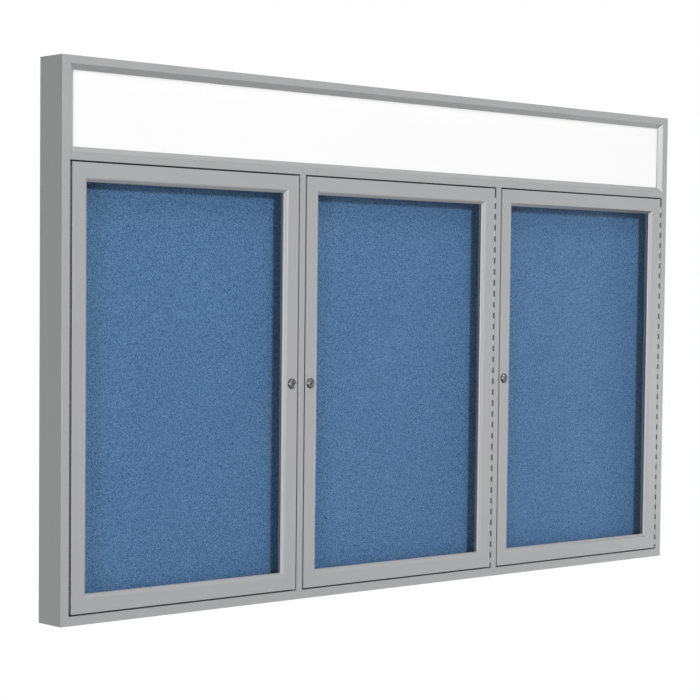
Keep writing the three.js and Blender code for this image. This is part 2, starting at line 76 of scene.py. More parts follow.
# Limits that tell edges and corners apart, in metres and radians
WELD = 0.01 * MM
FLAT_ANGLE = math.radians(0.5)
CORNER_ANGLE = math.radians(12)
SHADING_ANGLE = math.radians(35)
RIM_ANGLE = 1.0
SLOPE_ANGLE = math.radians(70)


# Camera at the photograph's place, with its turn, dip and roll in degrees
CAMERA_TURN = 42.44
CAMERA_DIP = 2.9653
CAMERA_ROLL = 0.6225

camera_data = bpy.data.cameras.new("camera")
camera_data.lens = 104.94
camera_data.sensor_width = 36
camera_data.shift_y = 0.0790
camera_data.clip_end = 60
camera = bpy.data.objects.new("camera", camera_data)
camera.location = (-3.1574, -3.3544, 0.0890)
camera.rotation_euler = (
    Matrix.Rotation(math.radians(-CAMERA_TURN), 4, "Z")
    @ Matrix.Rotation(math.radians(90 - CAMERA_DIP), 4, "X")
    @ Matrix.Rotation(math.radians(CAMERA_ROLL), 4, "Z")
).to_euler()
bpy.context.scene.collection.objects.link(camera)
bpy.context.scene.camera = camera
bpy.context.scene.view_settings.view_transform = "Standard"


# Shader sums written as Python
class Socket:
    """An output of a finish's nodes. An expression on sockets and numbers adds its Math nodes."""

    def __init__(self, finish, output):
        self.finish = finish
        self.output = output

    def _math(self, operation, *values):
        return self.finish.node("ShaderNodeMath", {"operation": operation}, dict(enumerate(values)))

    def __add__(self, other):
        return self._math("ADD", self, other)

    __radd__ = __add__

    def __sub__(self, other):
        return self._math("SUBTRACT", self, other)

    def __rsub__(self, other):
        return self._math("SUBTRACT", other, self)

    def __mul__(self, other):
        return self._math("MULTIPLY", self, other)

    __rmul__ = __mul__

    def most(self, other):
        return self._math("MAXIMUM", self, other)

    def clamped(self):
        return self.finish.node("ShaderNodeClamp", {}, {"Value": self})

    def swing(self, amount):
        """A noise between 0 and 1 as a swing of that size about zero."""
        return (self - 0.5) * amount


class Finish:
    """A material or world whose nodes are made by calls."""

    def __init__(self, owner):
        owner.use_nodes = True
        self.owner = owner
        self.tree = owner.node_tree
        self.tree.nodes.clear()

    def node(self, kind, settings=None, values=None, take=0):
        """Adds a node, sets it up, fills its sockets, and returns the output that is asked for, if any."""
        made = self.tree.nodes.new(kind)
        for name, setting in (settings or {}).items():
            if name == "stops":
                ramp = made.color_ramp
                while len(ramp.elements) < len(setting):
                    ramp.elements.new(0.5)
                for element, (place, color) in zip(ramp.elements, setting):
                    element.position = place
                    element.color = color
            else:
                setattr(made, name, setting)
        for name, value in (values or {}).items():
            socket = made.inputs[name]
            if isinstance(value, Socket):
                self.tree.links.new(value.output, socket)
            else:
                socket.default_value = value
        return Socket(self, made.outputs[take]) if len(made.outputs) else None

    def output(self, shader, kind="ShaderNodeOutputMaterial"):
        """Ends the nodes with a shader, and returns the material or world."""
        self.node(kind, {}, {"Surface": shader})
        return self.owner

    def place(self, scale=(1, 1, 1)):
        """Object coordinates, stretched by scale."""
        coordinates = self.node("ShaderNodeTexCoord", take="Object")
        return self.node("ShaderNodeMapping", {}, {"Vector": coordinates, "Scale": scale})

    def noise(self, vector, detail, scale=1.0, roughness=0.5):
        values = {"Vector": vector, "Scale": scale, "Detail": detail, "Roughness": roughness}
        return self.node("ShaderNodeTexNoise", {}, values, take="Fac")

    def blend(self, share, low, high):
        """A colour between two colours: low where share is 0, high where it is 1.

        The Mix node has several sockets of each name, so its colour sockets go by number.
        """
        return self.node(
            "ShaderNodeMix", {"data_type": "RGBA"}, {0: share, 6: (*low, 1), 7: (*high, 1)}, take=2
        )

    def bump(self, height, distance, strength):
        values = {"Height": height, "Distance": distance, "Strength": strength}
        return self.node("ShaderNodeBump", {}, values)

    def principled(self, **values):
        names = {name.replace("_", " "): value for name, value in values.items()}
        return self.node("ShaderNodeBsdfPrincipled", {}, names)


def new_finish(name):
    return Finish(bpy.data.materials.new(name))


def along(axis, fine, coarse):
    """A scale for coordinates that makes fine lines run along one axis."""
    return tuple(coarse if name == axis else fine for name in "XYZ")


def shades(color, darkest, lightest):
    """A colour's two ends, as shares of it."""
    dark = tuple(channel * darkest for channel in color)
    light = tuple(min(1.0, channel * lightest) for channel in color)
    return dark, light


# Finishes
def anodised(name, axis, color, metallic, roughness):
    """Satin anodised extrusion with die lines along its length."""
    finish = new_finish(name)
    lines = finish.noise(finish.place(along(axis, fine=1300, coarse=1.6)), detail=3.0, roughness=0.6)
    bands = finish.noise(finish.place(along(axis, fine=150, coarse=0.7)), detail=1.0)
    mottle = finish.noise(finish.place(), scale=9.0, detail=3.0)
    shade = lines.swing(0.10) + bands.swing(0.07) + mottle.swing(0.06) + 0.5
    dark, light = shades(color, darkest=0.80, lightest=1.20)
    shader = finish.principled(
        Base_Color=finish.blend(shade.clamped(), dark, light),
        Metallic=metallic,
        Roughness=(lines.swing(0.16) + mottle.swing(0.10) + roughness).clamped(),
        Normal=finish.bump(lines, distance=0.02 * MM, strength=0.35),
    )
    return finish.output(shader)


def rolled(name, axis, color, metallic, roughness, flecks=0.0):
    """Rolled sheet metal with grain along one axis, broad streaks of painted sheen, and zinc flecks where
    asked.
    """
    finish = new_finish(name)
    grain = finish.noise(finish.place(along(axis, fine=900, coarse=12)), detail=4.0, roughness=0.65)
    cloud = finish.noise(finish.place(), scale=14.0, detail=4.0, roughness=0.6)
    # Broad streaks along the grain, lighter and darker in the colour: painted sheen
    painted_sheen = finish.noise(finish.place(along(axis, fine=24, coarse=1.2)), detail=3.0)
    shade = grain.swing(0.45) + cloud.swing(0.45) + painted_sheen.swing(0.5) + 0.5
    if flecks:
        spangle = finish.node(
            "ShaderNodeTexVoronoi", {}, {"Vector": finish.place(), "Scale": 260.0}, take="Color"
        )
        shade = shade + finish.node("ShaderNodeSeparateXYZ", {}, {0: spangle}).swing(flecks)
    dark, light = shades(color, darkest=0.78, lightest=1.15)
    shader = finish.principled(
        Base_Color=finish.blend(shade.clamped(), dark, light),
        Metallic=metallic,
        Roughness=(grain.swing(0.25) + cloud.swing(0.2) + roughness).clamped(),
        Normal=finish.bump(grain, distance=0.03 * MM, strength=0.5),
    )
    return finish.output(shader)


# The lock's painted shade: a ramp over this depth, half before and half behind the front plane
LOCK_PAINTED_SHADE_DEPTH = 10 * MM
UNSHADED = (0, 0, 0, 1)
SHADED = (1, 1, 1, 1)
LOCK_PAINTED_SHADE_STOPS = ((0.12, UNSHADED), (0.22, SHADED), (0.75, SHADED), (0.85, UNSHADED))
LOCK_PAINTED_SHADE_SHARE = 0.55
NICKEL_DARK = (0.055, 0.055, 0.057)
NICKEL_LIGHT = (0.30, 0.30, 0.295)


def plated(name):
    """Satin nickel plate with turning rings, which follow the piece's own distance to its axis.

    The wall of the head and the inside of the keyhole, near the front plane, are darkened: a painted dark
    reflection on the wall and painted shade in the keyhole.
    """
    finish = new_finish(name)
    radius = finish.node("ShaderNodeAttribute", {"attribute_name": "turned"}, take="Fac")
    ring_place = finish.node("ShaderNodeCombineXYZ", {}, {0: radius})
    rings = finish.noise(ring_place, scale=2600.0, detail=3.0)
    wear = finish.noise(finish.place(), scale=420.0, detail=4.0, roughness=0.65)
    depth = finish.node("ShaderNodeSeparateXYZ", {}, {0: finish.place()}, take=1) - FRONT
    # Painted shade and painted dark reflection: darkens what lies from about 3 mm before to 3 mm behind the
    # front plane
    painted_lock_shade = finish.node(
        "ShaderNodeValToRGB", {"stops": LOCK_PAINTED_SHADE_STOPS}, {"Fac": depth * (1 / LOCK_PAINTED_SHADE_DEPTH) + 0.5}
    )
    shade = rings.swing(0.5) + wear.swing(0.8) + 0.6 - painted_lock_shade * LOCK_PAINTED_SHADE_SHARE
    shader = finish.principled(
        Base_Color=finish.blend(shade.clamped(), NICKEL_DARK, NICKEL_LIGHT),
        Metallic=0.85,
        Roughness=(rings.swing(0.15) + wear.swing(0.2) + 0.26).clamped(),
        Normal=finish.bump(rings, distance=0.03 * MM, strength=0.5),
    )
    return finish.output(shader)


VINYL_LOW_TONE_AND_SHADE = (0.023, 0.090, 0.205)
VINYL_HIGH_TONE_AND_LIGHT = (0.125, 0.248, 0.437)


def pebbled_vinyl(name):
    """Blue tack vinyl: a pebbled grain whose colour follows its relief, partly a speckled tone and partly
    painted light on the tops and painted shade in the valleys.
    """
    finish = new_finish(name)
    place = finish.place()
    pebble = finish.node(
        "ShaderNodeTexVoronoi", {}, {"Vector": place, "Scale": 400.0}, take="Distance"
    )
    grain = finish.noise(place, scale=430.0, detail=2.0, roughness=0.6)
    cloud = finish.noise(place, scale=5.0, detail=3.0)
    # Lighter on the pebbles' tops and darker in their valleys: speckled tone plus painted light and painted
    # shade
    shade = grain.swing(3.2) + (0.5 - pebble) + cloud.swing(0.2) + 0.5
    height = grain.swing(0.7) + (0.5 - pebble)
    shader = finish.principled(
        Base_Color=finish.blend(shade.clamped(), VINYL_LOW_TONE_AND_SHADE, VINYL_HIGH_TONE_AND_LIGHT),
        Roughness=(grain.swing(0.3) + 0.62).clamped(),
        Normal=finish.bump(height, distance=0.5 * MM, strength=0.8),
        Specular_IOR_Level=0.35,
    )
    return finish.output(shader)


WHITE_CLOUD = (0.945, 0.945, 0.941)
WHITE_CLEAR = (0.975, 0.975, 0.972)


def smooth_white(name):
    """White sheet with a faint skin from its rollers and a few soft clouds."""
    finish = new_finish(name)
    skin = finish.noise(finish.place(), scale=700.0, detail=2.0)
    cloud = finish.noise(finish.place(), scale=3.0, detail=3.0)
    shade = cloud.swing(0.8) + skin.swing(0.2) + 0.5
    shader = finish.principled(
        Base_Color=finish.blend(shade.clamped(), WHITE_CLOUD, WHITE_CLEAR),
        Roughness=(cloud.swing(0.1) + 0.38).clamped(),
        Normal=finish.bump(skin, distance=0.02 * MM, strength=0.3),
    )
    return finish.output(shader)


FIBRE_DARK = (0.20, 0.12, 0.055)
FIBRE_LIGHT = (0.48, 0.35, 0.20)


def pressed_fibre(name):
    """Raw fibreboard: short fibres and darker specks."""
    finish = new_finish(name)
    fibre = finish.noise(finish.place(scale=(1, 1, 3)), scale=240.0, detail=5.0, roughness=0.7)
    speck = finish.noise(finish.place(), scale=620.0, detail=2.0)
    shade = fibre.swing(1.6) + speck.swing(0.9) + 0.5
    shader = finish.principled(
        Base_Color=finish.blend(shade.clamped(), FIBRE_DARK, FIBRE_LIGHT),
        Roughness=0.9,
        Normal=finish.bump(fibre, distance=0.2 * MM, strength=0.6),
    )
    return finish.output(shader)


DUST_GAIN = 2.2
DUST_GREY = 0.01


def rubber(name, color):
    """Extruded rubber: matt, with a fine skin and a little dust, which is paler than the rubber."""
    finish = new_finish(name)
    skin = finish.noise(finish.place(), scale=1100.0, detail=2.0)
    dust = finish.noise(finish.place(), scale=60.0, detail=4.0, roughness=0.7)
    shade = skin.swing(0.4) + dust.swing(0.9) + 0.4
    dusty = tuple(channel * DUST_GAIN + DUST_GREY for channel in color)
    shader = finish.principled(
        Base_Color=finish.blend(shade.clamped(), color, dusty),
        Roughness=(dust.swing(0.3) + 0.66).clamped(),
        Normal=finish.bump(skin, distance=0.05 * MM, strength=0.4),
        Specular_IOR_Level=0.3,
    )
    return finish.output(shader)


PANE_TINT = (0.965, 0.98, 0.985, 1)
MIRROR_TINT = (0.9, 0.95, 1.0, 1)
MIRROR_SHARE = 0.2


def clear_sheet(name):
    """Clear pane: see-through, with a weak mirror that grows towards a flat view and a trace of haze."""
    finish = new_finish(name)
    smear = finish.noise(finish.place(scale=(1, 1, 2)), scale=7.0, detail=3.0)
    inside = finish.node("ShaderNodeNewGeometry", take="Backfacing")
    mirror = finish.node("ShaderNodeFresnel", {}, {"IOR": 1.45}) * (1 - inside)
    clear = finish.node("ShaderNodeBsdfTransparent", {}, {"Color": PANE_TINT})
    gloss = finish.node("ShaderNodeBsdfGlossy", {}, {"Color": MIRROR_TINT, "Roughness": 0.0})
    share = (mirror * (smear.swing(MIRROR_SHARE) + MIRROR_SHARE)).clamped()
    shader = finish.node("ShaderNodeMixShader", {}, {0: share, 1: clear, 2: gloss})
    return finish.output(shader)


FRAME_GREY = (0.372, 0.375, 0.379)
DOOR_GREY = (0.376, 0.381, 0.388)
finishes = {
    "frame_Z": anodised("frame_aluminium_upright", "Z", FRAME_GREY, metallic=0.25, roughness=0.36),
    "frame_X": anodised("frame_aluminium_level", "X", FRAME_GREY, metallic=0.25, roughness=0.36),
    "door_Z": anodised("door_aluminium_upright", "Z", DOOR_GREY, metallic=0.25, roughness=0.34),
    "door_X": anodised("door_aluminium_level", "X", DOOR_GREY, metallic=0.25, roughness=0.34),
    "sheet": rolled("sheet_aluminium", "X", (0.40, 0.41, 0.41), metallic=0.5, roughness=0.42),
    "zinc": rolled("zinc_steel", "Z", (0.36, 0.37, 0.39), metallic=0.8, roughness=0.40, flecks=0.35),
    "hinge": rolled("hinge_steel", "Z", (0.33, 0.33, 0.34), metallic=0.4, roughness=0.42),
    # Near-black steel: painted shade standing in for the dark gaps along the hinge lines
    "hinge_painted_shade": rolled("steel_painted_shade", "Z", (0.045, 0.045, 0.048), metallic=0.3, roughness=0.5),
    "nickel": plated("lock_nickel"),
    "white": smooth_white("white_panel"),
    "fibre": pressed_fibre("fibreboard"),
    "vinyl": pebbled_vinyl("blue_vinyl"),
    "gasket": rubber("gasket_rubber", (0.030, 0.032, 0.033)),
    "seal": rubber("seal_rubber", (0.010, 0.010, 0.011)),
    "pane": clear_sheet("clear_pane"),
}


# Making pieces
def finished(name, shape, body, finish, replaces=(), smooth=False):
    """Turns a bmesh into a piece on its body."""
    mesh = bpy.data.meshes.new(name)
    shape.to_mesh(mesh)
    shape.free()
    if smooth:
        mesh.shade_smooth()
        mesh.set_sharp_from_angle(angle=SHADING_ANGLE)
    mesh.materials.append(finishes[finish])
    piece = bpy.data.objects.new(name, mesh)
    bpy.context.scene.collection.objects.link(piece)
    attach(piece, body)
    if replaces:
        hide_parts(*replaces)
    return piece


def node_shape(node):
    """A node's own shape with its corners joined and its flat faces whole."""
    shape = bmesh.new()
    shape.from_mesh(NODES[node].data)
    bmesh.ops.remove_doubles(shape, verts=shape.verts, dist=WELD)
    bmesh.ops.dissolve_limit(
        shape, angle_limit=FLAT_ANGLE, verts=shape.verts, edges=shape.edges, delimit=set()
    )
    return shape


def corner_edges(shape, keep, least=CORNER_ANGLE, most=math.pi):
    """The outward edges of a shape that turn by an angle between two limits, where a rule keeps them."""
    return [
        edge
        for edge in shape.edges
        if len(edge.link_faces) == 2
        and edge.is_convex
        and least < edge.calc_face_angle(0) <= most
        and keep(edge)
    ]


def rims_of(edges):
    """The edges where a closed shape turns sharply."""
    return [edge for edge in edges if edge.calc_face_angle(0) > RIM_ANGLE]


def edges_of(verts):
    """The edges at some corners, each once and always in the same order."""
    return list(dict.fromkeys(edge for vert in verts for edge in vert.link_edges))


def rounded(shape, edges, width, steps):
    bmesh.ops.bevel(
        shape,
        geom=edges,
        offset=width,
        offset_type="OFFSET",
        segments=steps,
        profile=0.5,
        affect="EDGES",
        clamp_overlap=True,
        material=-1,
    )


def block(shape, x, y, z):
    """Adds a box between two places along each axis, and returns its corners."""
    low, high = zip(*(sorted(pair) for pair in (x, y, z)))
    size = [b - a for a, b in zip(low, high)]
    middle = [(a + b) / 2 for a, b in zip(low, high)]
    matrix = Matrix.Translation(middle) @ Matrix.Diagonal((*size, 1))
    return bmesh.ops.create_cube(shape, size=1, matrix=matrix)["verts"]


TURNED_STEPS = 64


def turned(shape, profile, centre=(0, 0, 0), steps=TURNED_STEPS):
    """Spins a closed profile of (radius, depth) in millimetres round the Y axis through centre."""
    verts = [shape.verts.new((radius * MM, depth * MM, 0)) for radius, depth in profile]
    edges = [shape.edges.new(pair) for pair in zip(verts, verts[1:] + verts[:1])]
    bmesh.ops.spin(
        shape,
        geom=verts + edges,
        axis=(0, 1, 0),
        cent=(0, 0, 0),
        steps=steps,
        angle=math.tau,
        use_merge=True,
    )
    bmesh.ops.remove_doubles(shape, verts=shape.verts, dist=WELD)
    loose = [edge for edge in shape.edges if edge.is_wire]
    bmesh.ops.delete(shape, geom=loose, context="EDGES")
    bmesh.ops.recalc_face_normals(shape, faces=shape.faces)
    bmesh.ops.translate(shape, vec=centre, verts=shape.verts)


def carved(shape, *cutters):
    """Cuts shapes out of a shape with the Boolean modifier."""
    made = []
    for index, part in enumerate((shape, *cutters)):
        mesh = bpy.data.meshes.new(f"carving_{index}")
        part.to_mesh(mesh)
        part.free()
        obj = bpy.data.objects.new(mesh.name, mesh)
        bpy.context.scene.collection.objects.link(obj)
        made.append(obj)
    for cutter in made[1:]:
        modifier = made[0].modifiers.new("cut", "BOOLEAN")
        modifier.operation = "DIFFERENCE"
        modifier.solver = "EXACT"
        modifier.object = cutter
    graph = bpy.context.evaluated_depsgraph_get()
    result = bmesh.new()
    result.from_mesh(made[0].evaluated_get(graph).to_mesh())
    for obj in made:
        mesh = obj.data
        bpy.data.objects.remove(obj)
        bpy.data.meshes.remove(mesh)
    bmesh.ops.remove_doubles(result, verts=result.verts, dist=WELD)
    return result


def copies(shape, pattern, matrices):
    """Adds a pattern to a shape once for each matrix, and frees the pattern."""
    for matrix in matrices:
        mesh = bpy.data.meshes.new("pattern")
        pattern.to_mesh(mesh)
        mesh.transform(matrix)
        shape.from_mesh(mesh)
        bpy.data.meshes.remove(mesh)
    pattern.free()


# Extruded bars: the long edges are rounded, the mitred ends stay sharp, and the joints close to a hairline
AXIS_INDEX = {"X": 0, "Z": 2}
CLOSER = 0.13 * MM
UPRIGHT = (0, 0, CLOSER)
LEVEL = (CLOSER, 0, 0)
EDGE_ROUND = 0.45 * MM
EDGE_STEPS = 3
SOFT_BEVEL = 3.0 * MM
SOFT_STEPS = 6

# What runs along a bar: an edge with this share of its length, which strays by less than this share
LONG_SHARE = 0.25
SKEW_SHARE = 0.05


def stretch(shape, low, high, grow):
    """Lengthens a shape about its middle by the same amount at both ends of each axis."""
    middle = (low + high) / 2
    factors = [1 + 2 * more / size for more, size in zip(grow, high - low)]
    matrix = Matrix.Translation(middle) @ Matrix.Diagonal((*factors, 1)) @ Matrix.Translation(-middle)
    bmesh.ops.transform(shape, matrix=matrix, verts=shape.verts)


def dressed_bar(node, kind, axis, grow, soft=False):
    """A bar with its long edges rounded. On a soft one, the slope to the pane is one full curve too."""
    shape = node_shape(node)
    low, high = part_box(node)
    stretch(shape, low, high, grow)
    index = AXIS_INDEX[axis]
    long_enough = LONG_SHARE * (high - low)[index]

    def runs_along(edge):
        run = [abs(step) for step in edge.verts[1].co - edge.verts[0].co]
        length = run.pop(index)
        return length > long_enough and max(run) < SKEW_SHARE * length

    if soft:
        slopes = corner_edges(shape, runs_along, most=SLOPE_ANGLE)
        rounded(shape, slopes, SOFT_BEVEL, SOFT_STEPS)
    corners = corner_edges(shape, runs_along, least=SLOPE_ANGLE if soft else CORNER_ANGLE)
    rounded(shape, corners, EDGE_ROUND, EDGE_STEPS)
    finished(f"{node}_bar", shape, BODY_OF[node], f"{kind}_{axis}", [node])


for post in ("left_stile", "right_stile", "mullion_1", "mullion_2", "header_left_post", "header_right_post"):
    dressed_bar(post, "frame", "Z", UPRIGHT)
dressed_bar("bottom_rail", "frame", "X", LEVEL)
dressed_bar("head_rail", "frame", "X", (2 * CLOSER, 0, CLOSER))
dressed_bar("header_top_rail", "frame", "X", LEVEL)
dressed_bar("header_sill", "frame", "X", (0, 0, CLOSER))
for number in DOORS:
    for side in ("hinge_stile", "lock_stile"):
        dressed_bar(f"door_{number}_{side}", "door", "Z", UPRIGHT, soft=True)
    for side in ("top_rail", "bottom_rail"):
        dressed_bar(f"door_{number}_{side}", "door", "X", LEVEL, soft=True)


# Glazing gaskets with a rounded lip
GASKET_ROUND = 0.3 * MM
GASKET_LEAST = 0.1


def gasket_lip(number):
    node = f"door_{number}_gasket"
    shape = node_shape(node)
    lips = corner_edges(shape, lambda edge: edge.calc_length() > GASKET_LEAST)
    rounded(shape, lips, GASKET_ROUND, steps=2)
    finished(f"{node}_lip", shape, BODY_OF[node], "gasket", [node])


for number in DOORS:
    gasket_lip(number)


# Weather seals on the stops behind the closed doors, which only the scene has
STOP_WIDTH = 8.5 * MM
SEAL_OUT = 0.4 * MM
SEAL_IN = 8.2 * MM
SEAL_GAP = 0.15 * MM
SEAL_ROUND = 1.2 * MM
SEAL_STEPS = 4


def weather_seal(number):
    """A flat band round one bay of the cabinet, from its stops to just short of the closed door."""
    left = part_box("left_stile" if number == DOORS[0] else f"mullion_{number - 1}")
    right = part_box("right_stile" if number == DOORS[-1] else f"mullion_{number}")
    x0 = left[1].x - STOP_WIDTH + SEAL_OUT
    x1 = right[0].x + STOP_WIDTH - SEAL_OUT
    z0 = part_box("bottom_rail")[1].z - STOP_WIDTH + SEAL_OUT
    z1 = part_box("head_rail")[0].z + STOP_WIDTH - SEAL_OUT
    face = FRONT + STOP_FACE
    shape = bmesh.new()
    bmesh.ops.create_grid(shape, x_segments=1, y_segments=1, size=0.5)
    matrix = (
        Matrix.Translation(((x0 + x1) / 2, face - SEAL_GAP, (z0 + z1) / 2))
        @ Matrix.Rotation(math.pi / 2, 4, "X")
        @ Matrix.Diagonal((x1 - x0, z1 - z0, 1, 1))
    )
    bmesh.ops.transform(shape, matrix=matrix, verts=shape.verts)
    middle = shape.faces[:]
    bmesh.ops.inset_region(
        shape, faces=middle, thickness=SEAL_IN - SEAL_OUT, use_boundary=True, use_even_offset=True
    )
    bmesh.ops.delete(shape, geom=middle, context="FACES")
    band = bmesh.ops.extrude_face_region(shape, geom=shape.faces[:], use_keep_orig=True)
    front = [item for item in band["geom"] if isinstance(item, bmesh.types.BMVert)]
    drop = STOP_FACE - DOOR_BACK - 2 * SEAL_GAP
    bmesh.ops.translate(shape, vec=(0, -drop, 0), verts=front)
    bmesh.ops.recalc_face_normals(shape, faces=shape.faces)
    front_plane = face - SEAL_GAP - drop
    front_edges = [
        edge for edge in shape.edges if all(abs(vert.co.y - front_plane) < WELD for vert in edge.verts)
    ]
    rounded(shape, rims_of(front_edges), SEAL_ROUND, SEAL_STEPS)
    finished(f"door_{number}_seal", shape, "cabinet", "seal")


for number in DOORS:
    weather_seal(number)


# Continuous hinges: rolled knuckles round a pin, on leaves screwed to the stile and the door
KNUCKLE_PITCH = 12.7 * MM
KNUCKLE_GAP = 0.4 * MM
KNUCKLE_RADIUS = 2.5 * MM
KNUCKLE_ROUND = 0.2 * MM
KNUCKLE_FACETS = 16
LEAF_INNER = 1.165 * MM
LEAF_FACE = 2.4 * MM
LEAF_START = 2.8 * MM
LEAF_END = 16.6 * MM
LEAF_ROUND = 0.25 * MM
CURL = 1.0 * MM
CURL_START = 0.2 * MM

# Their screws: the head in millimetres with shares of its height and radius, and the row in metres
SCREW_RADIUS = 2.3
SCREW_HEIGHT = 0.35
SCREW_SUNK = 0.4
SCREW_EDGE = 0.4
SCREW_TOP = 0.82
SCREW_FACETS = 16
CROSS_ARM = 0.55
CROSS_WIDTH = 0.12
CROSS_FLOOR = 0.15
SCREW_STEP = 95 * MM
SCREW_ENDS = 40 * MM
SCREW_SHIFT = 1 * MM


def hinge_leaf(number, part, side, first, finish):
    """A leaf on one side of the pin, with every second knuckle counted from the first."""
    node = f"hinge_{number}_{part}_leaf"
    low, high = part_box(f"hinge_{number}_pin")
    centre = (low + high) / 2
    shape = bmesh.new()
    plate = block(
        shape,
        (centre.x + side * LEAF_INNER, centre.x + side * LEAF_FACE),
        (centre.y + LEAF_START, centre.y + LEAF_END),
        (low.z, high.z),
    )
    rounded(shape, edges_of(plate), LEAF_ROUND, steps=1)
    knuckle = bmesh.new()
    length = KNUCKLE_PITCH - KNUCKLE_GAP
    bmesh.ops.create_cone(
        knuckle,
        cap_ends=True,
        segments=KNUCKLE_FACETS,
        radius1=KNUCKLE_RADIUS,
        radius2=KNUCKLE_RADIUS,
        depth=length,
    )
    rounded(knuckle, rims_of(knuckle.edges), KNUCKLE_ROUND, steps=1)
    strip = (side * (KNUCKLE_RADIUS - CURL), side * KNUCKLE_RADIUS)
    block(knuckle, strip, (CURL_START, LEAF_START + CURL), (-length / 2, length / 2))
    count = round((high.z - low.z) / (2 * KNUCKLE_PITCH))
    places = [
        Matrix.Translation((centre.x, centre.y, low.z + (2 * pair + first + 0.5) * KNUCKLE_PITCH))
        for pair in range(count)
    ]
    copies(shape, knuckle, places)
    finished(f"{node}_rolled", shape, BODY_OF[node], finish, [node])


def cross_head():
    """A low screw head with a cross recess: its base at the origin, its face towards +Y."""
    head = bmesh.new()
    profile = [
        (0.0, -SCREW_SUNK),
        (SCREW_RADIUS, -SCREW_SUNK),
        (SCREW_RADIUS, SCREW_HEIGHT * SCREW_EDGE),
        (SCREW_RADIUS * SCREW_TOP, SCREW_HEIGHT),
        (0.0, SCREW_HEIGHT),
    ]
    turned(head, profile, steps=SCREW_FACETS)
    arm = SCREW_RADIUS * CROSS_ARM * MM
    width = SCREW_RADIUS * CROSS_WIDTH * MM
    above = SCREW_HEIGHT * MM * 2
    cuts = []
    for x, z in ((arm, width), (width, arm)):
        cutter = bmesh.new()
        block(cutter, (-x, x), (-CROSS_FLOOR * MM, above), (-z, z))
        cuts.append(cutter)
    return carved(head, *cuts)


def leaf_screws(number, part, side):
    """The row of screws through a leaf, facing the way that the leaf does."""
    low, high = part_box(f"hinge_{number}_pin")
    centre = (low + high) / 2
    turn = Matrix.Rotation(side * math.pi / 2, 4, "Z")
    face = centre.x + side * LEAF_INNER
    depth = centre.y + (LEAF_START + LEAF_END) / 2 + SCREW_SHIFT
    count = int((high.z - low.z - SCREW_ENDS) / SCREW_STEP)
    lowest = centre.z - count * SCREW_STEP / 2
    places = [
        Matrix.Translation((face, depth, lowest + step * SCREW_STEP)) @ turn for step in range(count + 1)
    ]
    shape = bmesh.new()
    copies(shape, cross_head(), places)
    body = BODY_OF[f"hinge_{number}_{part}_leaf"]
    finished(f"hinge_{number}_{part}_screws", shape, body, "zinc")


for number in DOORS:
    side = -1 if number == 1 else 1
    # The door leaves, and the first hinge's cabinet leaf, take the near-black steel as painted shade in the
    # hinge gaps
    hinge_leaf(number, "cabinet", side, 0, "hinge_painted_shade" if number == 1 else "hinge")
    hinge_leaf(number, "door", -side, 1, "hinge_painted_shade")
    leaf_screws(number, "cabinet", side)
    leaf_screws(number, "door", -side)


# Cam locks: turned profiles as (radius, depth behind the front plane) in millimetres
FLANGE_PROFILE = [
    (6.3, -3.7), (6.5, -4.0), (7.0, -4.2), (7.9, -4.4), (8.35, -4.35), (8.6, -4.15), (10.7, -1.6),
    (11.0, -1.1), (11.0, -0.1), (10.9, -0.02), (8.0, 0.0), (8.0, 17.0), (7.75, 17.3), (7.75, 23.6),
    (7.4, 24.0), (6.6, 24.0), (6.3, 23.7),
]
RING_PROFILE = [(8.05, 19.2), (9.6, 19.2), (9.6, 20.6), (8.05, 20.6)]
PLUG_PROFILE = [
    (0.0, -3.5), (4.9, -3.5), (5.2, -3.55), (5.6, -3.4), (5.95, -3.0), (6.0, -2.7), (6.0, 24.0), (0.0, 24.0),
]

# Their square forms, as places across, into the wall and up from the lock's centre in millimetres
KEYHOLE = ((-0.8, 0.8), (-6.0, 2.4), (-3.25, 3.25))
WARD = ((-1.5, 0.9), (-6.0, 2.4), (-0.7, 0.9))
TAIL = ((-2.5, 2.5), (23.5, 27.8), (-2.5, 2.5))
TAIL_ROUND = 0.3 * MM
CAM_ROUND = 0.35 * MM


def block_at(shape, centre, places):
    """Adds a box whose places are in millimetres from a centre, and returns its corners."""
    return block(shape, *([middle + step * MM for step in pair] for middle, pair in zip(centre, places)))


def record_turning(piece, centre):
    """Stores each corner's distance from the lock's axis, for the turning marks."""
    layer = piece.data.attributes.new("turned", "FLOAT", "POINT")
    distances = [math.hypot(vert.co.x - centre.x, vert.co.z - centre.z) for vert in piece.data.vertices]
    layer.data.foreach_set("value", distances)


def at_one_depth(edge):
    """Whether an edge stays at one depth behind the front plane."""
    return abs(edge.verts[0].co.y - edge.verts[1].co.y) < WELD


